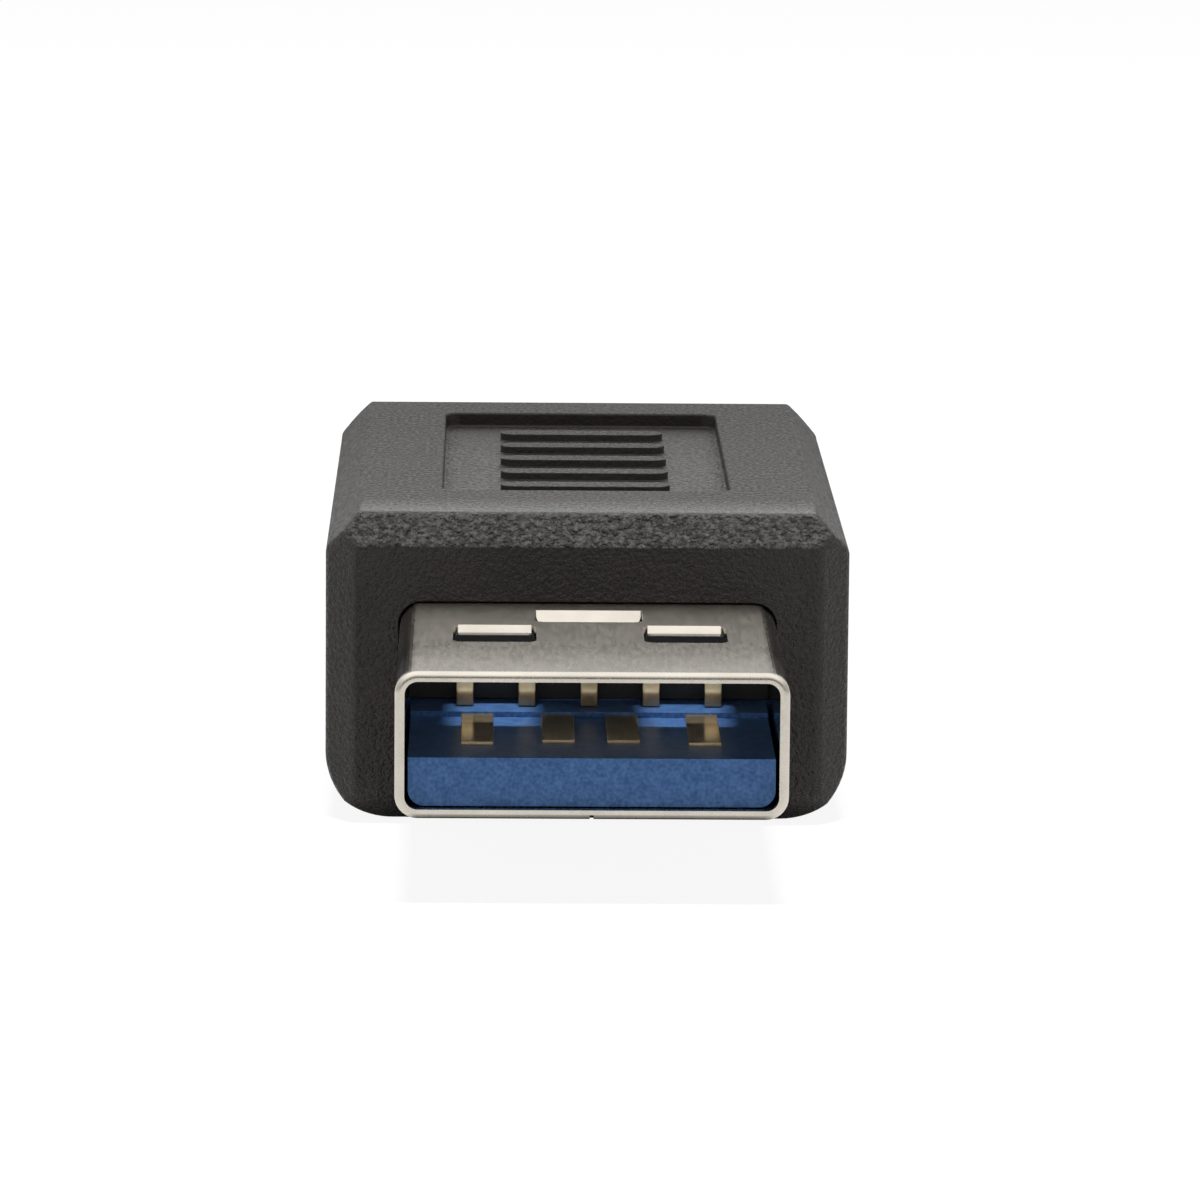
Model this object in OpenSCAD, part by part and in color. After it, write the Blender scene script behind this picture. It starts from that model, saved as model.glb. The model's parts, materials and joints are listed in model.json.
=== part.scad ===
// Short adapter: a Standard-A plug in front, a reversible port behind, one moulded body over both.
// Millimetres. +Z is up, the plug points along -Y, the origin is under the middle of the part.

/* [Body] */
// Width of the moulded body
body_w = 16.8; // [16:0.1:20]
// Height of the moulded body
body_h = 10; // [9:0.1:13]
// Length of the moulded body behind the plug
body_len = 25.5; // [24.5:0.5:32]
// Bevel round the front face
front_bevel = 0.95; // [0.5:0.05:1.3]
// Bevel of the upper long edges, across
edge_bevel_w = 1.05; // [0.5:0.05:1.3]
// Bevel of the upper long edges, downwards
edge_bevel_h = 1.15; // [0.5:0.05:1.3]
// Radius of the lower long edges
foot_r = 2.15; // [1:0.05:2.4]
// Bevel round the rear face
rear_bevel = 0.4; // [0.2:0.05:0.8]

/* [Recess in the top] */
// Width of the recess
recess_w = 9.4; // [7:0.2:11]
// Distance from the front face to the recess
recess_from_front = 5.5; // [4:0.5:7]
// Distance from the recess to the rear face
recess_from_rear = 3; // [2.5:0.05:5]
// Depth of the recess
recess_depth = 0.5; // [0.3:0.05:0.7]
// Corner radius of the recess
recess_r = 0.5; // [0.3:0.1:1.5]
// Number of grip bars in the recess
grip_count = 5; // [3:1:6]
// Length of a grip bar, across the body
grip_len = 5.6; // [3:0.2:6]
// Width of a grip bar
grip_w = 1; // [0.6:0.1:1.2]
// Height of a grip bar over the recess floor
grip_h = 0.25; // [0.1:0.05:0.3]

/* [Plug shell] */
// Width of the plug shell
plug_w = 12; // [11.9:0.05:12.1]
// Height of the plug shell
plug_h = 4.55; // [4.4:0.05:4.6]
// How far the plug lies below the middle of the body
plug_drop = 0.08; // [0:0.02:0.3]
// Length of plug in front of the body
plug_len = 12; // [11.75:0.05:12.5]
// Thickness of the shell's sheet
sheet = 0.3; // [0.25:0.01:0.35]
// Outer corner radius of the shell
plug_r = 0.7; // [0.55:0.05:0.9]
// Radius of the rolled edge round the shell's mouth
mouth_r = 0.2; // [0.1:0.01:0.24]
// Distance from the tip to the windows
window_from_tip = 5.2; // [5:0.05:5.4]
// Length of a window
window_len = 2.8; // [2.2:0.1:3]
// Width of a window
window_w = 2.6; // [2.2:0.1:2.8]
// Corner radius of a window
window_r = 0.3; // [0.1:0.05:0.5]
// Length of the slope at the rear edge of a window
window_slope_len = 0.18; // [0.1:0.02:0.3]
// Depth of the slope at the rear edge of a window
window_slope_h = 0.22; // [0.1:0.02:0.24]
// Distance between the middles of two windows
window_pitch = 5.95; // [5.6:0.05:6.2]
// Width of the opening round the lanced tab
tab_w = 3.4; // [2.6:0.1:3.6]
// Length of the opening round the lanced tab
tab_len = 2.15; // [1.6:0.05:2.2]
// Length of the lanced tab
tab_reach = 0.6; // [0.5:0.05:0.8]
// Angle by which the tab is bent down
tab_angle = 42; // [35:1:48]
// Width of the seam along the underside
seam_gap = 0.12; // [0.06:0.01:0.2]
// Depth of the seam where the rolled edges meet
seam_depth = 0.15; // [0.1:0.01:0.2]

/* [Contacts of the plug] */
// Width of a flat contact
contact_w = 1; // [0.8:0.05:1]
// Thickness of a flat contact
contact_t = 0.25; // [0.2:0.01:0.3]
// Middle of the inner flat contacts, from the centre line
contact_inner_x = 1; // [0.9:0.05:1.1]
// Middle of the outer flat contacts, from the centre line
contact_outer_x = 3.5; // [3.4:0.05:3.6]
// Distance from the tip to the inner flat contacts
contact_inner_from_tip = 2.65; // [2.4:0.05:3.6]
// Distance from the tip to the outer flat contacts
contact_outer_from_tip = 2.3; // [2:0.05:2.6]
// Width of a sprung contact
spring_w = 0.54; // [0.4:0.02:0.6]
// Thickness of a sprung contact
spring_t = 0.2; // [0.15:0.01:0.25]
// Distance between the middles of two sprung contacts
spring_pitch = 1.95; // [1.9:0.05:2.05]

/* [Tongue of the plug] */
// Distance from the tip of the shell to the tongue
tongue_from_tip = 0.4; // [0.3:0.05:0.6]
// Thickness of the tongue
tongue_t = 1.5; // [1.4:0.05:1.6]
// Height of the step behind the flat contacts
step_h = 0.18; // [0.14:0.01:0.24]
// Distance from the tip to the step
step_from_tip = 6.9; // [6.6:0.05:7]

/* [Port at the rear] */
// Outer width of the port shell
port_w = 8.94; // [8.9:0.02:9.1]
// Outer height of the port shell
port_h = 3.16; // [3.12:0.02:3.24]
// Thickness of the port tongue
port_tongue_t = 0.7; // [0.65:0.01:0.75]
// Width of the port tongue
port_tongue_w = 6.69; // [6.6:0.01:6.75]
// Distance from the rear face to the port tongue
port_tongue_from_face = 1.75; // [1.5:0.05:2]

/* [Board] */
// Thickness of the circuit board
board_t = 0.6; // [0.5:0.05:0.7]
// Side of the lane switch
chip_size = 3; // [2.5:0.1:3.5]
// Height of the lane switch
chip_h = 0.75; // [0.6:0.05:0.9]

/* [Hidden] */
// Facets of a full circle
fine = 48;
// How far cutters run past the faces they cut
spare = 0.5;
// Clearance between the moulded body and what sticks out of it
fit = 0.05;

// Stations along the part
tip_y = -(plug_len + body_len) / 2;
front_y = tip_y + plug_len;
rear_y = front_y + body_len;
axis_z = body_h / 2 - plug_drop;

// First-shot mould under the body
skin = 1.45;
front_wall = 2;
rear_wall = 2.6;
mould_w = body_w - 2 * skin;
mould_h = body_h - 2 * skin;
mould_front_y = front_y + front_wall;
mould_rear_y = rear_y - rear_wall;

// Recess and its grip bars
recess_front_y = front_y + recess_from_front;
recess_len = body_len - recess_from_front - recess_from_rear;
recess_mid_y = recess_front_y + recess_len / 2;
grip_pitch = recess_len / (grip_count + 1);
grip_root = 0.2;

// Plug shell, in lengths from the tip
shell_len = 18.75;
shell_in_w = plug_w - 2 * sheet;
shell_in_h = plug_h - 2 * sheet;
shell_in_r = plug_r - sheet;
cavity_len = 9;
tab_root = 10.9;
tab_gap = 0.04;
tab_hold = 0.15;
tab_r = 0.35;
leg_h = 1.8;
leg_len = 2.6;
dove_from_tip = 9.4;
dove_w = 1.4;
dove_depth = 0.9;
dove_flare = 0.3;

// Tongue and rear block of the plug
tongue_gap = 0.1;
tongue_foot_gap = 0.04;
tongue_w = shell_in_w - 2 * tongue_gap;
tongue_foot = -shell_in_h / 2 + tongue_foot_gap;
tongue_top = tongue_foot + tongue_t;
tongue_r = 0.5;
step_top = tongue_top + step_h;
block_relief = 0.2;
block_r = shell_in_r + block_relief;
block_end = 17;
carrier_end = 16.4;
tab_notch = 0.6;

// Flat contacts stand a little under the step
contact_cover = 0.06;
contact_top = step_top - contact_cover;
tail_end = 19.6;

// Board between the two rows of tails
board_low = contact_top;
board_high = board_low + board_t;
board_gap = 0.3;
board_w = shell_in_w - 2 * fit;
board_front_y = tip_y + block_end + board_gap;

// Sprung contacts run over the board and hump up behind the step
spring_low = board_high;
spring_high = spring_low + spring_t;
spring_line = spring_low + spring_t / 2;
spring_rise = 0.2;
spring_knee_y = 8.75;
spring_crest_y = 8.1;
spring_brow_y = 7.85;
spring_tip_y = 7.8;
spring_rest = 0.02;
spring_tip_z = step_top + spring_rest;

// Port, in lengths from the rear face
port_sheet = 0.3;
port_setback = 0.1;
port_in_w = port_w - 2 * port_sheet;
port_in_h = port_h - 2 * port_sheet;
port_len = 8.6;
port_depth = 6.2;
port_block_len = 9.4;
port_bay = 7;
port_step_from_face = 4.9;
port_step_w = 7.2;
port_step_h = 1.3;
port_nose = 0.15;
port_leg_x = port_w / 2 - port_sheet;
port_leg_h = 1.2;
port_leg_end = 11.4;
plate_t = 0.15;
plate_proud = 0.1;
plate_w = port_tongue_w + 2 * plate_proud;
plate_setback = 0.55;
plate_from_face = port_tongue_from_face + plate_setback;
plate_end = 8.8;
pad_t = 0.15;
pad_w = 6.6;
pad_len = 1;
pin_count = 12;
pin_pitch = 0.5;
pin_w = 0.25;
pin_t = 0.1;
pin_setback = 0.3;
pin_from_face = port_tongue_from_face + pin_setback;
pin_bend = 8;
pin_bend_len = 0.3;
pin_end = 11;

board_rear_y = rear_y - port_block_len - board_gap;
board_neck_w = 2 * (port_leg_x - fit);
board_neck_y = rear_y - port_leg_end - board_gap;
chip_y = (tip_y + tail_end + rear_y - pin_end) / 2;
chip_part_l = 1;
chip_part_w = 0.5;
resistor_h = 0.35;
capacitor_h = 0.5;
capacitor_x = 3.1;
resistor_x = 4.5;
chip_part_pitch = 1.6;

// A flat shape drawn as (x, z), pulled along Y
module along_y(from, to) {
  translate([0, to, 0])
    rotate([90, 0, 0])
      linear_extrude(height = to - from)
        children();
}

// A flat shape drawn as (y, z), pulled along X
module along_x(from, to) {
  translate([from, 0, 0])
    rotate([90, 0, 90])
      linear_extrude(height = to - from)
        children();
}

// A flat shape drawn as (x, y), pulled along Z
module along_z(from, to) {
  translate([0, 0, from])
    linear_extrude(height = to - from)
      children();
}

// Box between two corners
module span(a, b) {
  translate(a)
    cube(b - a);
}

// Rectangle with round corners about the origin
module round_rect(w, h, r) {
  square([w - 2 * r, h], center = true);
  square([w, h - 2 * r], center = true);
  for (sx = [-1, 1], sy = [-1, 1])
    translate([sx * (w / 2 - r), sy * (h / 2 - r)])
      circle(r = r, $fn = fine);
}

// Slot outline about the origin, round at both ends
module obround(w, h) {
  square([w - h, h], center = true);
  for (side = [-1, 1])
    translate([side * (w - h) / 2, 0])
      circle(d = h, $fn = fine);
}

// Rectangle from low to high whose lower corners are round
module cup(w, low, high, r) {
  translate([-w / 2, low + r])
    square([w, high - low - r]);
  translate([-w / 2 + r, low])
    square([w - 2 * r, high - low]);
  for (side = [-1, 1])
    translate([side * (w / 2 - r), low + r])
      circle(r = r, $fn = fine);
}

// Straight groove between two points of the seam
module slit(a, b) {
  translate(a)
    rotate(atan2(b[1] - a[1], b[0] - a[0]))
      translate([-seam_gap / 2, -seam_gap / 2])
        square([norm(b - a) + seam_gap, seam_gap]);
}

// Places its children from the plug's tip and centre line
module from_tip() {
  translate([0, tip_y, axis_z])
    children();
}

// Box inside the port, in lengths from the rear face
module port_span(w, from, to, low, high) {
  span([-w / 2, rear_y - to, axis_z + low], [w / 2, rear_y - from, axis_z + high]);
}

// Body outline across, bevelled above and round below
module body_across() {
  cup(body_w, 0, body_h - edge_bevel_h, foot_r);
  polygon([
    [-body_w / 2, body_h / 2],
    [-body_w / 2, body_h - edge_bevel_h],
    [-body_w / 2 + edge_bevel_w, body_h],
    [body_w / 2 - edge_bevel_w, body_h],
    [body_w / 2, body_h - edge_bevel_h],
    [body_w / 2, body_h / 2]
  ]);
}

// Body outline from the side, bevelled in front and behind
module body_side() {
  polygon([
    [front_y, front_bevel],
    [front_y, body_h - front_bevel],
    [front_y + front_bevel, body_h],
    [rear_y - rear_bevel, body_h],
    [rear_y, body_h - rear_bevel],
    [rear_y, rear_bevel],
    [rear_y - rear_bevel, 0],
    [front_y + front_bevel, 0]
  ]);
}

// Body outline from above, bevelled in front and behind
module body_plan() {
  polygon([
    [-body_w / 2 + front_bevel, front_y],
    [-body_w / 2, front_y + front_bevel],
    [-body_w / 2, rear_y - rear_bevel],
    [-body_w / 2 + rear_bevel, rear_y],
    [body_w / 2 - rear_bevel, rear_y],
    [body_w / 2, rear_y - rear_bevel],
    [body_w / 2, front_y + front_bevel],
    [body_w / 2 - front_bevel, front_y]
  ]);
}

// Space that the first-shot mould takes up
module mould_block() {
  span([-mould_w / 2, mould_front_y, skin], [mould_w / 2, mould_rear_y, skin + mould_h]);
}

module body() {
  color("#202022") {
    difference() {
      intersection() {
        along_y(front_y - spare, rear_y + spare)
          body_across();
        along_x(-body_w, body_w)
          body_side();
        along_z(-spare, body_h + spare)
          body_plan();
      }
      along_z(body_h - recess_depth, body_h + spare)
        translate([0, recess_mid_y])
          round_rect(recess_w, recess_len, recess_r);
      mould_block();
      translate([0, 0, axis_z]) {
        along_y(front_y - spare, mould_front_y + spare)
          round_rect(plug_w + 2 * fit, plug_h + 2 * fit, plug_r + fit);
        along_y(mould_rear_y - spare, rear_y + spare)
          obround(port_w + 2 * fit, port_h + 2 * fit);
      }
    }
    for (i = [1 : grip_count])
      translate([0, recess_front_y + i * grip_pitch, body_h - recess_depth])
        along_z(-grip_root, grip_h)
          obround(grip_len, grip_w);
  }
}

module inner_mould() {
  color("#e8e6dc")
    difference() {
      mould_block();
      span(
        [-plug_w / 2 - fit, mould_front_y - spare, axis_z - plug_h / 2],
        [plug_w / 2 + fit, rear_y - port_bay, axis_z + plug_h / 2]
      );
      span(
        [-port_w / 2 - fit, rear_y - port_bay - spare, axis_z - port_h / 2],
        [port_w / 2 + fit, mould_rear_y + spare, axis_z + port_h / 2]
      );
    }
}

// Bar with round long edges, its front edge rolled all round
module rolled_bar(w, h, r, length, roll) {
  along_x(-w / 2 + r, w / 2 - r)
    rotate(-90)
      cup(h, 0, length, roll);
  along_z(-h / 2 + r, h / 2 - r)
    cup(w, 0, length, roll);
  for (sx = [-1, 1], sz = [-1, 1])
    translate([sx * (w / 2 - r), 0, sz * (h / 2 - r)])
      rotate([-90, 0, 0])
        rotate_extrude($fn = fine)
          intersection() {
            cup(2 * r, 0, length, roll);
            square([r, length]);
          }
}

// Wedges that slope the rear edges of the windows, above and below
module window_slopes() {
  rear = window_from_tip + window_len;
  half = (window_w - window_r) / 2;
  for (side = [-1, 1], face = [-1, 1])
    along_x(side * window_pitch / 2 - half, side * window_pitch / 2 + half)
      polygon([
        [rear - window_r, face * (plug_h / 2 - window_slope_h)],
        [rear, face * (plug_h / 2 - window_slope_h)],
        [rear + 2 * window_slope_len, face * (plug_h / 2 + window_slope_h)],
        [rear - window_r, face * (plug_h / 2 + window_slope_h)]
      ]);
}

// Seam under the shell with one dovetail
module seam() {
  path = [
    [0, -spare],
    [0, dove_from_tip],
    [dove_depth, dove_from_tip - dove_flare],
    [dove_depth, dove_from_tip + dove_w + dove_flare],
    [0, dove_from_tip + dove_w],
    [0, shell_len + spare]
  ];
  for (i = [1 : len(path) - 1])
    slit(path[i - 1], path[i]);
}

// Unit vector square to the line between two points
function square_to(a, b) = [a[1] - b[1], b[0] - a[0]] / norm(b - a);

// Mitred offset of each point of a path
function offset_at(path, i) =
  let (last = len(path) - 1)
  let (before = square_to(path[max(i - 1, 0)], path[max(i, 1)]))
  let (after = square_to(path[min(i, last - 1)], path[min(i + 1, last)]))
  (before + after) / (1 + before * after);

// Strip of even thickness along a path
module strip(path, t) {
  last = len(path) - 1;
  polygon(concat(
    [for (i = [0 : last]) path[i] + offset_at(path, i) * t / 2],
    [for (i = [last : -1 : 0]) path[i] - offset_at(path, i) * t / 2]
  ));
}

// Tab of the shell: a strip bent down at its root, with round corners at its free end
module tab() {
  mid = (plug_h - sheet) / 2;
  end = [tab_root - tab_reach * cos(tab_angle), mid - tab_reach * sin(tab_angle)];
  front = end[0] - sheet / 2 * sin(tab_angle);
  intersection() {
    along_x(-tab_w / 2, tab_w / 2)
      strip([[tab_root + tab_hold, mid], [tab_root, mid], end], sheet);
    along_z(0, plug_h)
      cup(tab_w - 2 * tab_gap, front, tab_root + tab_hold, tab_r);
  }
}

module plug_shell() {
  color("#c9cbcd")
    from_tip() {
      difference() {
        rolled_bar(plug_w, plug_h, plug_r, shell_len, mouth_r);
        along_y(-spare, shell_len + spare)
          round_rect(shell_in_w, shell_in_h, shell_in_r);
        for (side = [-1, 1])
          along_z(-plug_h, plug_h)
            translate([side * window_pitch / 2, window_from_tip + window_len / 2])
              round_rect(window_w, window_len, window_r);
        window_slopes();
        along_z(0, plug_h)
          cup(tab_w, tab_root - tab_len, tab_root, tab_r);
        along_z(-plug_h, -plug_h / 2 + seam_depth)
          seam();
      }
      tab();
      for (side = [-1, 1])
        translate([side * (plug_w - sheet) / 2, shell_len, 0])
          span([-sheet / 2, -spare, -leg_h / 2], [sheet / 2, leg_len, leg_h / 2]);
    }
}

// One flat contact, from its bare end to its tail
module flat_contact(x, start) {
  from_tip()
    span([x - contact_w / 2, start, contact_top - contact_t], [x + contact_w / 2, tail_end, contact_top]);
}

module power_contact() {
  color("#d9b86a")
    flat_contact(contact_outer_x, contact_outer_from_tip);
}

module data_minus_contact() {
  color("#d9b86a")
    flat_contact(contact_inner_x, contact_inner_from_tip);
}

module data_plus_contact() {
  color("#d9b86a")
    flat_contact(-contact_inner_x, contact_inner_from_tip);
}

module ground_contact() {
  color("#d9b86a")
    flat_contact(-contact_outer_x, contact_outer_from_tip);
}

// One sprung contact: tail, hump and a tip that points down
module sprung_contact(place) {
  path = [
    [tail_end, spring_line],
    [spring_knee_y, spring_line],
    [spring_crest_y, spring_line + spring_rise],
    [spring_brow_y, spring_line + spring_rise / 2],
    [spring_tip_y, spring_tip_z]
  ];
  from_tip()
    along_x(place * spring_pitch - spring_w / 2, place * spring_pitch + spring_w / 2)
      strip(path, spring_t);
}

module receive_minus_contact() {
  color("#caa24f")
    sprung_contact(2);
}

module receive_plus_contact() {
  color("#caa24f")
    sprung_contact(1);
}

module drain_contact() {
  color("#caa24f")
    sprung_contact(0);
}

module transmit_minus_contact() {
  color("#caa24f")
    sprung_contact(-1);
}

module transmit_plus_contact() {
  color("#caa24f")
    sprung_contact(-2);
}

module plug_insulator() {
  color("#3f6aa8")
    difference() {
      from_tip() {
        along_y(tongue_from_tip, cavity_len)
          cup(tongue_w, tongue_foot, tongue_top, tongue_r);
        along_y(step_from_tip, cavity_len)
          cup(tongue_w, tongue_foot, step_top, tongue_r);
        along_y(cavity_len, block_end)
          cup(shell_in_w, -shell_in_h / 2, step_top, block_r);
      }
      for (side = [-1, 1]) {
        flat_contact(side * contact_inner_x, contact_inner_from_tip);
        flat_contact(side * contact_outer_x, contact_outer_from_tip);
      }
    }
}

module contact_carrier() {
  color("#1c1c1f")
    from_tip()
      difference() {
        along_y(cavity_len, carrier_end)
          mirror([0, 1])
            cup(shell_in_w, -shell_in_h / 2, -step_top, block_r);
        for (place = [-2 : 2])
          span(
            [place * spring_pitch - spring_w / 2, cavity_len - spare, spring_low],
            [place * spring_pitch + spring_w / 2, carrier_end + spare, spring_high]
          );
        span(
          [-tab_w / 2, cavity_len - spare, shell_in_h / 2 - tab_notch],
          [tab_w / 2, tab_root + spare, shell_in_h / 2 + spare]
        );
      }
}

module circuit_board() {
  color("#1f5b3a")
    along_z(axis_z + board_low, axis_z + board_high) {
      translate([-board_w / 2, board_front_y])
        square([board_w, board_neck_y - board_front_y]);
      translate([-board_neck_w / 2, board_front_y])
        square([board_neck_w, board_rear_y - board_front_y]);
    }
}

module switch_chip() {
  color("#2b2b2d")
    translate([0, chip_y, axis_z + board_high])
      span([-chip_size / 2, -chip_size / 2, 0], [chip_size / 2, chip_size / 2, chip_h]);
}

// Small two-ended board part, standing on the board
module chip_part(x, y, h) {
  translate([x, y, axis_z + board_high])
    span([-chip_part_w / 2, -chip_part_l / 2, 0], [chip_part_w / 2, chip_part_l / 2, h]);
}

module resistors() {
  color("#3a3a3c")
    for (side = [-1, 1])
      chip_part(side * resistor_x, chip_y, resistor_h);
}

module capacitors() {
  color("#b59a78")
    for (side = [-1, 1], end = [-1, 1])
      chip_part(side * capacitor_x, chip_y + end * chip_part_pitch / 2, capacitor_h);
}

module port_shell() {
  color("#bfc2c5") {
    translate([0, 0, axis_z])
      along_y(rear_y - port_len, rear_y - port_setback)
        difference() {
          obround(port_w, port_h);
          obround(port_in_w, port_in_h);
        }
    for (side = [-1, 1])
      translate([side * (port_leg_x + port_sheet / 2), 0, 0])
        port_span(port_sheet, port_len - spare, port_leg_end, -port_leg_h / 2, port_leg_h / 2);
  }
}

// Plate inside the port tongue
module plate_block() {
  port_span(plate_w, plate_from_face, plate_end, -plate_t / 2, plate_t / 2);
}

// One row of the port's contacts: upper or lower side of the tongue
module pin_row(upper) {
  strip_low = upper ? port_tongue_t / 2 - pin_t : -port_tongue_t / 2;
  tail_low = upper ? board_high : board_low - pin_t;
  for (i = [0 : pin_count - 1])
    translate([(i - (pin_count - 1) / 2) * pin_pitch, 0, 0]) {
      port_span(pin_w, pin_from_face, pin_bend, strip_low, strip_low + pin_t);
      port_span(
        pin_w, pin_bend - pin_bend_len, pin_bend,
        min(strip_low, tail_low), max(strip_low, tail_low) + pin_t
      );
      port_span(pin_w, pin_bend - pin_bend_len, pin_end, tail_low, tail_low + pin_t);
    }
}

// Port tongue from the side, bevelled at its free end
module port_tongue_side() {
  half = port_tongue_t / 2;
  root_y = rear_y - port_depth - spare;
  nose_y = rear_y - port_tongue_from_face;
  polygon([
    [root_y, axis_z - half],
    [nose_y - port_nose, axis_z - half],
    [nose_y, axis_z - half + port_nose],
    [nose_y, axis_z + half - port_nose],
    [nose_y - port_nose, axis_z + half],
    [root_y, axis_z + half]
  ]);
}

module port_insulator() {
  color("#1b1b1d")
    difference() {
      union() {
        translate([0, 0, axis_z])
          along_y(rear_y - port_block_len, rear_y - port_depth)
            obround(port_in_w, port_in_h);
        port_span(port_step_w, port_step_from_face, port_depth + spare, -port_step_h / 2, port_step_h / 2);
        along_x(-port_tongue_w / 2, port_tongue_w / 2)
          port_tongue_side();
      }
      plate_block();
      pin_row(true);
      pin_row(false);
    }
}

module port_mid_plate() {
  color("#a9acaf")
    plate_block();
}

module port_upper_contacts() {
  color("#d9b86a")
    pin_row(true);
}

module port_lower_contacts() {
  color("#d9b86a")
    pin_row(false);
}

module port_ground_pads() {
  color("#b7babd")
    for (side = [-1, 1])
      port_span(
        pad_w, port_depth - pad_len, port_depth,
        min(side * port_step_h / 2, side * (port_step_h / 2 + pad_t)),
        max(side * port_step_h / 2, side * (port_step_h / 2 + pad_t))
      );
}

body();
inner_mould();
plug_shell();
plug_insulator();
contact_carrier();
power_contact();
data_minus_contact();
data_plus_contact();
ground_contact();
receive_minus_contact();
receive_plus_contact();
drain_contact();
transmit_minus_contact();
transmit_plus_contact();
circuit_board();
switch_chip();
resistors();
capacitors();
port_shell();
port_insulator();
port_mid_plate();
port_upper_contacts();
port_lower_contacts();
port_ground_pads();
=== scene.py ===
import json
import math

import bpy
from mathutils import Matrix, Vector


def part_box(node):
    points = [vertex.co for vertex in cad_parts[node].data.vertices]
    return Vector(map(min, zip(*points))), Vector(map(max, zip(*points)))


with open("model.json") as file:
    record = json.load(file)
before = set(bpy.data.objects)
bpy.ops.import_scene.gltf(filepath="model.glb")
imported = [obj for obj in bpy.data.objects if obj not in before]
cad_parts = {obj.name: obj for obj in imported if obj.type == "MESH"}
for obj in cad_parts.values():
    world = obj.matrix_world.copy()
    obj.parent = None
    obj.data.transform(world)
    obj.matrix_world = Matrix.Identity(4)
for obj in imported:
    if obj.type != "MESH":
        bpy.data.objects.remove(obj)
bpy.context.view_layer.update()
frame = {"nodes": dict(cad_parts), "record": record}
scene = bpy.context.scene
MM = 0.001

# Places from the frame that the looks depend on, in millimetres
body_low, body_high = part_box("body")
shell_low, shell_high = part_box("plug_shell")
FRONT = body_low.y / MM
REAR = body_high.y / MM
TOP = body_high.z / MM
MOUTH = shell_low.y / MM
SHELL_HALF = shell_high.x / MM
AXIS = (shell_low.z + shell_high.z) / 2 / MM


# Node tree helpers

def new_material(name):
    """A material with a Principled shader and nothing linked to it."""
    mat = bpy.data.materials.new(name)
    mat.use_nodes = True
    tree = mat.node_tree
    tree.nodes.clear()
    out = tree.nodes.new("ShaderNodeOutputMaterial")
    shader = tree.nodes.new("ShaderNodeBsdfPrincipled")
    tree.links.new(shader.outputs["BSDF"], out.inputs["Surface"])
    return mat, tree, shader


def millimetres(tree, stretch=(1, 1, 1)):
    """Object coordinates in millimetres, with an optional stretch per axis."""
    coord = tree.nodes.new("ShaderNodeTexCoord")
    mapping = tree.nodes.new("ShaderNodeMapping")
    mapping.inputs["Scale"].default_value = [factor / MM for factor in stretch]
    tree.links.new(coord.outputs["Object"], mapping.inputs["Vector"])
    return mapping.outputs["Vector"]


def axes_of(tree, vector):
    """The X, Y and Z outputs of a vector."""
    node = tree.nodes.new("ShaderNodeSeparateXYZ")
    tree.links.new(vector, node.inputs["Vector"])
    return node.outputs


def noise(tree, vector, scale, detail, rough):
    node = tree.nodes.new("ShaderNodeTexNoise")
    node.inputs["Scale"].default_value = scale
    node.inputs["Detail"].default_value = detail
    node.inputs["Roughness"].default_value = rough
    tree.links.new(vector, node.inputs["Vector"])
    return node.outputs["Fac"]


def remap(tree, value, source, target):
    """A value carried from one range to another and held at its ends."""
    node = tree.nodes.new("ShaderNodeMapRange")
    node.inputs["From Min"].default_value = source[0]
    node.inputs["From Max"].default_value = source[1]
    node.inputs["To Min"].default_value = target[0]
    node.inputs["To Max"].default_value = target[1]
    tree.links.new(value, node.inputs["Value"])
    return node.outputs["Result"]


def math_node(tree, kind, a, b=0):
    """A Math node whose inputs are sockets or plain numbers."""
    node = tree.nodes.new("ShaderNodeMath")
    node.operation = kind
    for socket, value in zip(node.inputs, (a, b)):
        if isinstance(value, (int, float)):
            socket.default_value = value
        else:
            tree.links.new(value, socket)
    return node.outputs["Value"]


def add(tree, a, b):
    return math_node(tree, "ADD", a, b)


def subtract(tree, a, b):
    return math_node(tree, "SUBTRACT", a, b)


def multiply(tree, a, b):
    return math_node(tree, "MULTIPLY", a, b)


def mean(tree, a, b):
    return multiply(tree, add(tree, a, b), 0.5)


def ramp(tree, value, source, dark, light):
    """A colour that goes from dark to light as the value crosses a range."""
    node = tree.nodes.new("ShaderNodeValToRGB")
    for stop, position, colour in zip(node.color_ramp.elements, source, (dark, light)):
        stop.position = position
        stop.color = (*colour, 1)
    tree.links.new(value, node.inputs["Fac"])
    return node.outputs["Color"]


def blend(tree, factor, colour, other):
    """A colour that turns into another fixed colour where the factor is 1."""
    node = tree.nodes.new("ShaderNodeMix")
    node.data_type = "RGBA"
    sockets = {socket.identifier: socket for socket in (*node.inputs, *node.outputs)}
    sockets["B_Color"].default_value = (*other, 1)
    tree.links.new(factor, sockets["Factor_Float"])
    tree.links.new(colour, sockets["A_Color"])
    return sockets["Result_Color"]


def bump(tree, height, distance_mm, strength=None, after=None):
    """A bump of full strength, or of a linked one, on top of another bump where one is given."""
    node = tree.nodes.new("ShaderNodeBump")
    node.inputs["Distance"].default_value = distance_mm * MM
    node.inputs["Strength"].default_value = 1
    if strength is not None:
        tree.links.new(strength, node.inputs["Strength"])
    tree.links.new(height, node.inputs["Height"])
    if after is not None:
        tree.links.new(after, node.inputs["Normal"])
    return node.outputs["Normal"]


def facing(tree, direction, cosines):
    """1 where the true surface faces a fixed direction of the part, 0 where it turns away from it."""
    geometry = tree.nodes.new("ShaderNodeNewGeometry")
    dot = tree.nodes.new("ShaderNodeVectorMath")
    dot.operation = "DOT_PRODUCT"
    dot.inputs[1].default_value = Vector(direction).normalized()
    tree.links.new(geometry.outputs["True Normal"], dot.inputs[0])
    return remap(tree, dot.outputs["Value"], cosines, (0, 1))


# Materials

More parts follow.
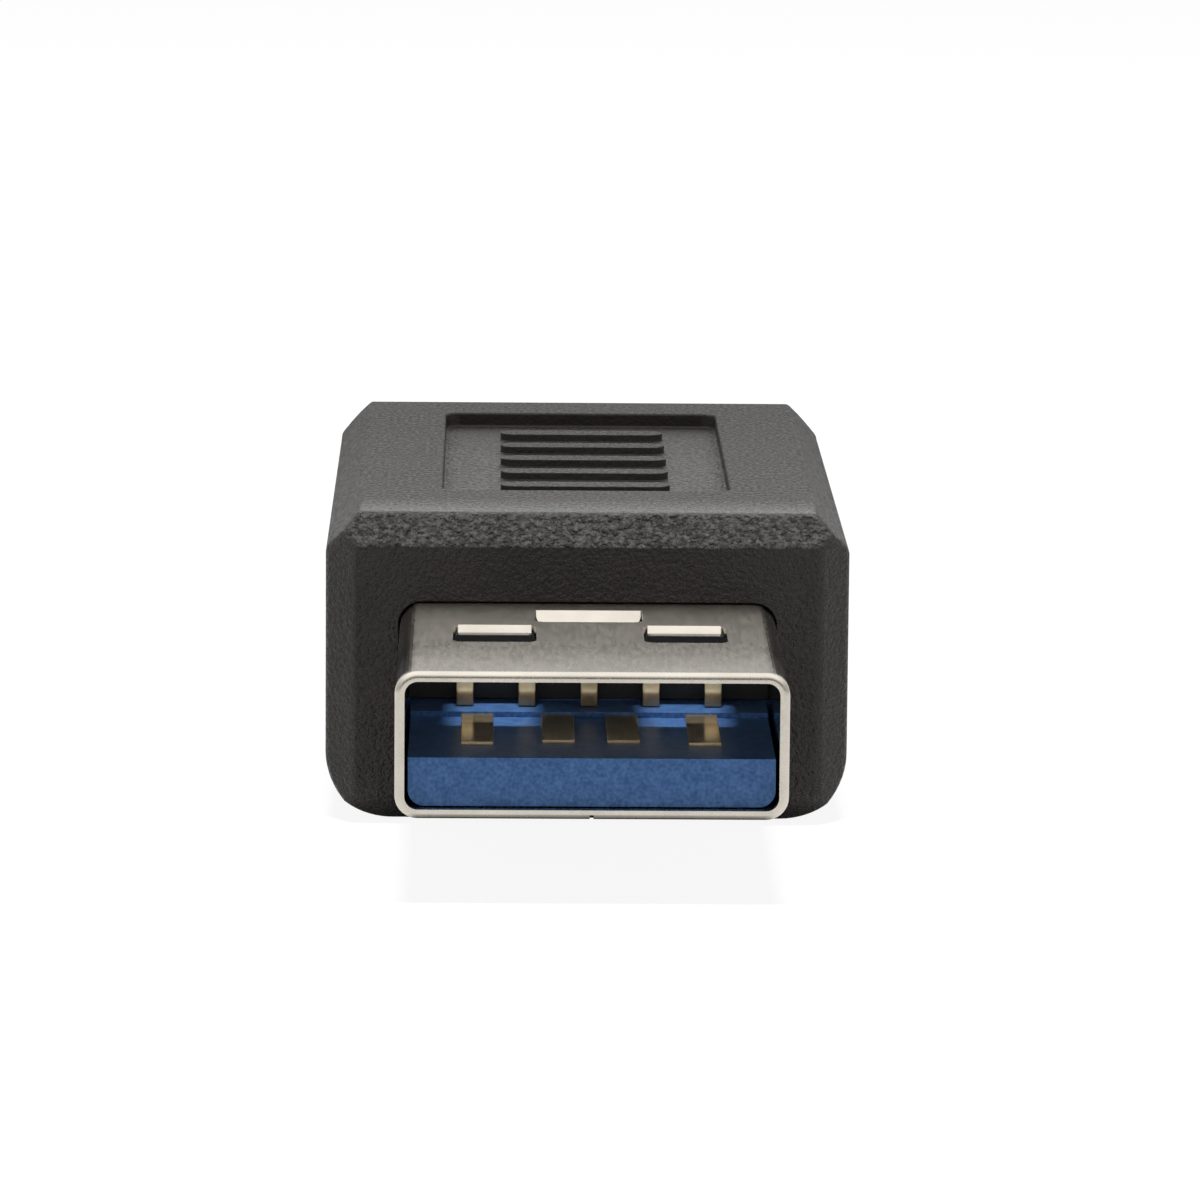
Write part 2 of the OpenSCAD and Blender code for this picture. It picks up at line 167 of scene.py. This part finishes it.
def black_plastic():
    """The body: a fine eroded grain, coarser on the front chamfer with pale specks that are partly wear
    and partly painted glints, polished behind it.
    """
    mat, tree, shader = new_material("moulded_black")
    mm = millimetres(tree)
    place = axes_of(tree, mm)
    cloud = noise(tree, mm, scale=0.35, detail=3, rough=0.6)
    grain = noise(tree, millimetres(tree, (1, 0.6, 1)), scale=7.5, detail=2, rough=0.6)
    coarse = noise(tree, mm, scale=5.2, detail=1, rough=0.5)
    specks = noise(tree, mm, scale=5.6, detail=1.5, rough=0.6)

    near_front = remap(tree, place["Y"], (FRONT + 1.35, FRONT + 1.75), (1, 0))
    chamfer = multiply(tree, facing(tree, (0, -1, 1), (0.8, 0.97)), near_front)
    front_strip = remap(tree, place["Y"], (FRONT + 0.85, FRONT + 3.75), (1, 0))
    recess_floor = remap(tree, place["Z"], (TOP - 0.48, TOP - 0.3), (0.4, 0))
    upward = facing(tree, (0, 0, 1), (0.9, 0.99))
    polish = multiply(tree, add(tree, front_strip, recess_floor), upward)

    colour = ramp(tree, mean(tree, cloud, grain), (0.35, 0.65),
                  dark=(0.009, 0.0074, 0.0064), light=(0.021, 0.0176, 0.0156))
    # Pale specks on the front chamfer: partly worn grain, partly painted glints of its grains
    worn_specks_and_glints = multiply(tree, remap(tree, specks, (0.41, 0.7), (0, 1)), chamfer)
    colour = blend(tree, worn_specks_and_glints, colour, (0.1, 0.0965, 0.094))
    tree.links.new(colour, shader.inputs["Base Color"])
    shader.inputs["Specular IOR Level"].default_value = 0.45

    duller_to_rear = remap(tree, place["Y"], (FRONT + 3.75, REAR - 2.75), (0, 0.08))
    rough = add(tree, remap(tree, grain, (0.32, 0.68), (0.36, 0.66)), duller_to_rear)
    rough = subtract(tree, rough, multiply(tree, polish, 0.25))
    tree.links.new(rough, shader.inputs["Roughness"])

    # Little relief on the small steps near the top that face the front, and less where it is polished
    near_top = remap(tree, place["Z"], (TOP - 0.8, TOP - 0.6), (0, 0.85))
    steps = subtract(tree, facing(tree, (0, -1, 0), (0.1, 0.3)), chamfer)
    smoothed = add(tree, multiply(tree, steps, near_top), multiply(tree, polish, 0.6))
    fine_relief = bump(tree, grain, distance_mm=0.19, strength=subtract(tree, 1, smoothed))
    relief = bump(tree, coarse, distance_mm=0.2, strength=chamfer, after=fine_relief)
    tree.links.new(relief, shader.inputs["Normal"])
    return mat


def steel(name, tint, rough, plug=False):
    """Sheet steel, drawn along Y, with its range of roughness.

    The plug's gets duller toward the body and is burnished on its rolled sides.
    """
    mat, tree, shader = new_material(name)
    drawn = noise(tree, millimetres(tree, (8, 1.3, 8)), scale=1, detail=0.5, rough=0.5)
    cloud = noise(tree, millimetres(tree), scale=0.8, detail=3, rough=0.6)
    dark = [0.86 * channel for channel in tint]
    tree.links.new(ramp(tree, cloud, (0.3, 0.7), dark, tint), shader.inputs["Base Color"])
    shader.inputs["Metallic"].default_value = 1
    roughness = remap(tree, drawn, (0.3, 0.7), rough)
    if plug:
        place = axes_of(tree, millimetres(tree))
        duller_to_body = remap(tree, place["Y"], (MOUTH + 4.25, FRONT - 1.25), (0, 0.12))
        left = facing(tree, (-1, 0, 0), (0.2, 0.6))
        right = facing(tree, (1, 0, 0), (0.2, 0.6))
        behind_rim = remap(tree, place["Y"], (MOUTH + 0.25, MOUTH + 0.55), (0, 0.2))
        burnish = multiply(tree, add(tree, left, right), behind_rim)
        roughness = subtract(tree, add(tree, roughness, duller_to_body), burnish)
    tree.links.new(roughness, shader.inputs["Roughness"])
    return mat


def plain_plastic(name, dark, light, rough, grain=8, relief_mm=0.0015, specular=0.5):
    """A smooth moulding with a faint cloud and grain in its colour."""
    mat, tree, shader = new_material(name)
    mm = millimetres(tree)
    cloud = noise(tree, mm, scale=2.4, detail=2, rough=0.6)
    fine = noise(tree, mm, scale=grain, detail=0.5, rough=0.6)
    colour = ramp(tree, mean(tree, cloud, fine), (0.32, 0.68), dark, light)
    tree.links.new(colour, shader.inputs["Base Color"])
    shader.inputs["Specular IOR Level"].default_value = specular
    roughness = remap(tree, fine, (0.3, 0.7), (rough - 0.015, rough + 0.015))
    tree.links.new(roughness, shader.inputs["Roughness"])
    if relief_mm:
        tree.links.new(bump(tree, fine, relief_mm), shader.inputs["Normal"])
    return mat


def gold(name, dark, light, rough, metal, shaded_bare=None):
    """Gold plating. Where a darker colour is given, only the crests are plated; below them that colour
    stands for unplated alloy and also paints the shade that falls on the lower parts.
    """
    mat, tree, shader = new_material(name)
    mm = millimetres(tree)
    cloud = noise(tree, mm, scale=2, detail=3, rough=0.6)
    drawn = noise(tree, millimetres(tree, (12, 0.8, 12)), scale=1, detail=2, rough=0.5)
    colour = ramp(tree, cloud, (0.35, 0.65), dark, light)
    if shaded_bare:
        # Painted shade: the darker colour below the crests stands partly for unplated alloy, partly for
        # the shade on the springs' lower parts
        below = remap(tree, axes_of(tree, mm)["Z"], (AXIS + 0.18, AXIS + 0.28), (1, 0))
        colour = blend(tree, below, colour, shaded_bare)
    tree.links.new(colour, shader.inputs["Base Color"])
    shader.inputs["Metallic"].default_value = metal
    roughness = remap(tree, drawn, (0.2, 0.8), (rough - 0.04, rough + 0.05))
    tree.links.new(roughness, shader.inputs["Roughness"])
    return mat


SLOTS = {
    "black_plastic": black_plastic(),
    "natural_plastic": plain_plastic(
        "natural_first_shot", dark=(0.66, 0.64, 0.58), light=(0.74, 0.72, 0.66), rough=0.5),
    "plug_steel": steel("plug_sheet_steel", tint=(0.66, 0.615, 0.54), rough=(0.25, 0.285), plug=True),
    "blue_plastic": plain_plastic(
        "blue_insulator", dark=(0.038, 0.1, 0.25), light=(0.088, 0.192, 0.43), rough=0.32,
        grain=9, relief_mm=0, specular=0.12),
    "carrier_black": plain_plastic(
        "carrier_resin", dark=(0.012, 0.012, 0.012), light=(0.02, 0.02, 0.02), rough=0.45),
    "flat_contact_gold": gold(
        "flat_contact_plating", dark=(0.62, 0.48, 0.29), light=(0.76, 0.62, 0.4), rough=0.16, metal=0.82),
    # The springs' darker colour below the crests is partly painted shade
    "spring_contact_gold": gold(
        "spring_contact_plating", dark=(0.8, 0.65, 0.4), light=(0.92, 0.78, 0.52), rough=0.18, metal=0.6,
        shaded_bare=(0.36, 0.27, 0.16)),
    "board_green": plain_plastic(
        "solder_mask_green", dark=(0.02, 0.12, 0.06), light=(0.035, 0.17, 0.085), rough=0.35),
    "chip_black": plain_plastic(
        "chip_resin", dark=(0.025, 0.025, 0.026), light=(0.035, 0.035, 0.036), rough=0.55),
    "chip_ceramic": plain_plastic(
        "chip_ceramic_tan", dark=(0.38, 0.29, 0.2), light=(0.48, 0.38, 0.27), rough=0.5),
    "port_steel": steel("port_sheet_steel", tint=(0.62, 0.62, 0.62), rough=(0.3, 0.34)),
    "port_black": plain_plastic(
        "port_resin", dark=(0.014, 0.014, 0.015), light=(0.022, 0.022, 0.023), rough=0.42),
    "pin_gold": gold(
        "pin_plating", dark=(0.66, 0.44, 0.18), light=(0.8, 0.58, 0.29), rough=0.26, metal=0.82),
}


# Modifiers that round the sharp edges

SHARP_ANGLE = math.radians(24)
FLAT_ANGLE = math.radians(0.5)
WELD_GAP = 1e-7
EDGE_SEGMENTS = 3


def geometry_group(name):
    """An empty node group for a modifier, with its two end nodes."""
    tree = bpy.data.node_groups.new(name, "GeometryNodeTree")
    for direction in ("INPUT", "OUTPUT"):
        tree.interface.new_socket("Geometry", in_out=direction, socket_type="NodeSocketGeometry")
    return tree, tree.nodes.new("NodeGroupInput"), tree.nodes.new("NodeGroupOutput")


def smooth_shading():
    """Node group that shades every face smooth, once its edges are round."""
    tree, start, end = geometry_group("smooth_all")
    shade = tree.nodes.new("GeometryNodeSetShadeSmooth")
    tree.links.new(start.outputs[0], shade.inputs["Geometry"])
    tree.links.new(shade.outputs["Geometry"], end.inputs[0])
    return tree


def edge_weights(name, regions):
    """Node group that writes how far each sharp edge is rounded.

    It is the share of the first region that the edge lies in, and elsewhere the full radius.
    """
    tree, start, end = geometry_group(name)
    position = tree.nodes.new("GeometryNodeInputPosition")
    place = axes_of(tree, position.outputs["Position"])
    bend = tree.nodes.new("GeometryNodeInputMeshEdgeAngle")
    share = 1
    for low, high, region_share in reversed(regions):
        inside = 1
        for axis, least, most in zip("XYZ", low, high):
            above = math_node(tree, "GREATER_THAN", place[axis], least * MM)
            below = math_node(tree, "LESS_THAN", place[axis], most * MM)
            inside = multiply(tree, inside, multiply(tree, above, below))
        change = subtract(tree, region_share, share)
        share = add(tree, share, multiply(tree, inside, change))
    sharp = math_node(tree, "GREATER_THAN", bend.outputs["Unsigned Angle"], SHARP_ANGLE)
    store = tree.nodes.new("GeometryNodeStoreNamedAttribute")
    store.data_type = "FLOAT"
    store.domain = "EDGE"
    store.inputs["Name"].default_value = "bevel_weight_edge"
    tree.links.new(start.outputs[0], store.inputs["Geometry"])
    tree.links.new(multiply(tree, sharp, share), store.inputs["Value"])
    tree.links.new(store.outputs["Geometry"], end.inputs[0])
    return tree


def soften(obj, radius_mm, regions=(), clamp=True):
    """Round the sharp edges of a solid by a small real radius."""
    weld = obj.modifiers.new("weld", "WELD")
    weld.merge_threshold = WELD_GAP
    flat = obj.modifiers.new("flat", "DECIMATE")
    flat.decimate_type = "DISSOLVE"
    flat.angle_limit = FLAT_ANGLE
    weights = obj.modifiers.new("weights", "NODES")
    weights.node_group = edge_weights(obj.name + "_weights", regions)
    bevel = obj.modifiers.new("edge", "BEVEL")
    bevel.width = radius_mm * MM
    bevel.segments = EDGE_SEGMENTS
    bevel.limit_method = "WEIGHT"
    bevel.use_clamp_overlap = clamp
    group = obj.modifiers.new("smooth", "NODES")
    group.node_group = SMOOTH
    normals = obj.modifiers.new("normals", "WEIGHTED_NORMAL")
    normals.keep_sharp = False


def region(half_width, y, z, share):
    """A box across the middle plane, in millimetres, where edges get a share of the full radius."""
    return (-half_width, y[0], z[0]), (half_width, y[1], z[1]), share


SMOOTH = smooth_shading()

# Where the body's edges are less round. No radius of the body is clamped, because its narrowest place
# would then set them all
GRIPS = region(3.2, (FRONT + 6.15, REAR - 3.55), (TOP - 1, TOP - 0.1), share=0.15)
RECESS = region(5, (FRONT + 4.75, REAR - 2.25), (TOP - 1, TOP + 1), share=0.5)
INSIDE = region(7, (FRONT + 0.35, REAR - 0.45), (1, TOP - 1), share=0)
PLUG_OPENING = region(SHELL_HALF + 0.4, (FRONT - 0.25, FRONT + 0.35), (AXIS - 2.7, AXIS + 2.7), share=0.25)
PORT_OPENING = region(5, (REAR - 0.45, REAR + 0.25), (AXIS - 2.1, AXIS + 2.1), share=0.5)
REAR_END = region(9, (REAR - 0.55, REAR + 0.25), (-1, TOP + 1), share=0.2)
BODY_REGIONS = [GRIPS, RECESS, INSIDE, PLUG_OPENING, PORT_OPENING, REAR_END]

# Radius of the rounded edges of each visible solid
EDGES = {
    "body": {"radius_mm": 0.17, "regions": BODY_REGIONS, "clamp": False},
    "plug_shell": {"radius_mm": 0.03},
    "plug_insulator": {"radius_mm": 0.05},
    "contact_carrier": {"radius_mm": 0.05},
    "port_shell": {"radius_mm": 0.06},
    "port_insulator": {"radius_mm": 0.02},
}
FLAT_CONTACTS = ("power_contact", "data_minus_contact", "data_plus_contact", "ground_contact")
for name in frame["nodes"]:
    if name.endswith("_contact"):
        EDGES[name] = {"radius_mm": 0.02 if name in FLAT_CONTACTS else 0.05}

slot_of = {row["node"]: row["material_slot"] for row in frame["record"]["subparts"]}
for name in frame["nodes"]:
    obj = bpy.data.objects[name]
    for slot in obj.material_slots:
        slot.material = SLOTS[slot_of[name]]
    if name in EDGES:
        soften(obj, **EDGES[name])


# Camera, placed by a fit of the plug's mouth and the body's edges in the photograph

PHOTO_WIDTH_PX = 1200
FOCAL_PX = 7101.634
SENSOR_MM = 36
YAW = math.radians(0.897)
PITCH = math.radians(9.986)
ROLL = math.radians(0.484)

# The middle of the mouth as the camera sees it before its roll, in millimetres
MOUTH_RIGHT = -0.198
MOUTH_AHEAD = 215.494
MOUTH_DOWN = 4.457

right = Vector((math.cos(YAW), -math.sin(YAW), 0))
forward = Vector((math.sin(YAW) * math.cos(PITCH), math.cos(YAW) * math.cos(PITCH), -math.sin(PITCH)))
up = Vector((math.sin(YAW) * math.sin(PITCH), math.cos(YAW) * math.sin(PITCH), math.cos(PITCH)))
mouth = Vector((0, MOUTH, AXIS))
eye = mouth - MOUTH_RIGHT * right - MOUTH_AHEAD * forward + MOUTH_DOWN * up
camera_x = math.cos(ROLL) * right + math.sin(ROLL) * up
camera_y = math.cos(ROLL) * up - math.sin(ROLL) * right
turn = Matrix((camera_x, camera_y, -forward)).transposed().to_4x4()
camera = bpy.data.objects.new("camera", bpy.data.cameras.new("camera"))
camera.data.sensor_width = SENSOR_MM
camera.data.lens = SENSOR_MM * FOCAL_PX / PHOTO_WIDTH_PX
camera.data.clip_start = 0.005
camera.data.clip_end = 50
camera.matrix_world = Matrix.Translation(eye * MM) @ turn
scene.collection.objects.link(camera)
scene.camera = camera


# Floor

FLOOR_REACH = 3
FLOOR_DROP = 0.02 * MM
FLOOR_ALBEDO = 0.8


def floor_white():
    """White to the camera, with the part's own shadow, and white in reflections.

    In reflections, a strip as wide as the plug is dimmer, from just in front of its mouth to the rear, as
    a painted shadow of the plug.
    """
    mat = bpy.data.materials.new("floor_white")
    mat.use_nodes = True
    tree = mat.node_tree
    tree.nodes.clear()
    out = tree.nodes.new("ShaderNodeOutputMaterial")
    diffuse = tree.nodes.new("ShaderNodeBsdfDiffuse")
    lift = tree.nodes.new("ShaderNodeEmission")
    both = tree.nodes.new("ShaderNodeAddShader")
    path = tree.nodes.new("ShaderNodeLightPath")
    seen = path.outputs["Is Camera Ray"]
    reflected = path.outputs["Is Glossy Ray"]

    place = axes_of(tree, millimetres(tree))
    along = remap(tree, place["Y"], (MOUTH - 6.25, MOUTH - 1.25), (0, 0.7))
    off_middle = math_node(tree, "ABSOLUTE", place["X"])
    across = remap(tree, off_middle, (SHELL_HALF - 0.5, SHELL_HALF + 0.5), (1, 0))
    # Painted shadow, seen only in reflections: the floor is dimmer in a strip under and in front of the
    # plug's mouth
    dim = multiply(tree, multiply(tree, along, across), reflected)

    shade = add(tree, multiply(tree, seen, 0.66), multiply(tree, dim, FLOOR_ALBEDO))
    tree.links.new(subtract(tree, FLOOR_ALBEDO, shade), diffuse.inputs["Color"])
    lift.inputs["Color"].default_value = (1, 1, 1, 1)
    lift_reflected = multiply(tree, subtract(tree, reflected, dim), 0.13)
    tree.links.new(add(tree, multiply(tree, seen, 0.91), lift_reflected), lift.inputs["Strength"])
    tree.links.new(diffuse.outputs["BSDF"], both.inputs[0])
    tree.links.new(lift.outputs["Emission"], both.inputs[1])
    tree.links.new(both.outputs["Shader"], out.inputs["Surface"])
    return mat


corners = [(FLOOR_REACH * x, FLOOR_REACH * y, 0) for x, y in ((-1, -1), (1, -1), (1, 1), (-1, 1))]
floor_mesh = bpy.data.meshes.new("floor")
floor_mesh.from_pydata(corners, [], [(0, 1, 2, 3)])
floor_mesh.materials.append(floor_white())
floor = bpy.data.objects.new("floor", floor_mesh)
floor.location.z = -FLOOR_DROP
scene.collection.objects.link(floor)


# World and lamps

AMBIENT = 0.1


def studio():
    """White to the camera and dim as light.

    Reflections show a white sweep, brighter overhead, darker at the sides and behind the camera.
    """
    world = bpy.data.worlds.new("studio")
    world.use_nodes = True
    tree = world.node_tree
    tree.nodes.clear()
    out = tree.nodes.new("ShaderNodeOutputWorld")
    back = tree.nodes.new("ShaderNodeBackground")
    path = tree.nodes.new("ShaderNodeLightPath")
    coord = tree.nodes.new("ShaderNodeTexCoord")
    toward = axes_of(tree, coord.outputs["Generated"])
    overhead = remap(tree, toward["Z"], (0.3, 0.75), (0.94, 1.5))
    behind = remap(tree, toward["Y"], (-0.97, -0.45), (0.8, 0))
    aside = remap(tree, math_node(tree, "ABSOLUTE", toward["X"]), (0.45, 0.95), (0, 0.4))
    sweep = subtract(tree, subtract(tree, overhead, behind), aside)
    reflected = multiply(tree, path.outputs["Is Glossy Ray"], subtract(tree, sweep, AMBIENT))
    seen = multiply(tree, path.outputs["Is Camera Ray"], 1 - AMBIENT)
    back.inputs["Color"].default_value = (1, 1, 1, 1)
    tree.links.new(add(tree, add(tree, reflected, seen), AMBIENT), back.inputs["Strength"])
    tree.links.new(back.outputs["Background"], out.inputs["Surface"])
    return world


def softbox(name, place, aim, size, watts):
    """A rectangular lamp, in metres, that reflections don't show."""
    data = bpy.data.lights.new(name, "AREA")
    data.shape = "RECTANGLE"
    data.size = size[0]
    data.size_y = size[1]
    data.energy = watts
    lamp = bpy.data.objects.new(name, data)
    lamp.location = place
    lamp.rotation_euler = (Vector(aim) - Vector(place)).to_track_quat("-Z", "Y").to_euler()
    lamp.visible_glossy = False
    scene.collection.objects.link(lamp)


scene.world = studio()
softbox("top_softbox", place=(0, -0.055, 0.42), aim=(0, 0, 0), size=(0.13, 0.04), watts=1.9)
softbox("front_fill", place=(-0.03, -0.5, 0.012), aim=(0, 0, 0.005), size=(0.3, 0.02), watts=0.32)
scene.view_settings.view_transform = "Standard"
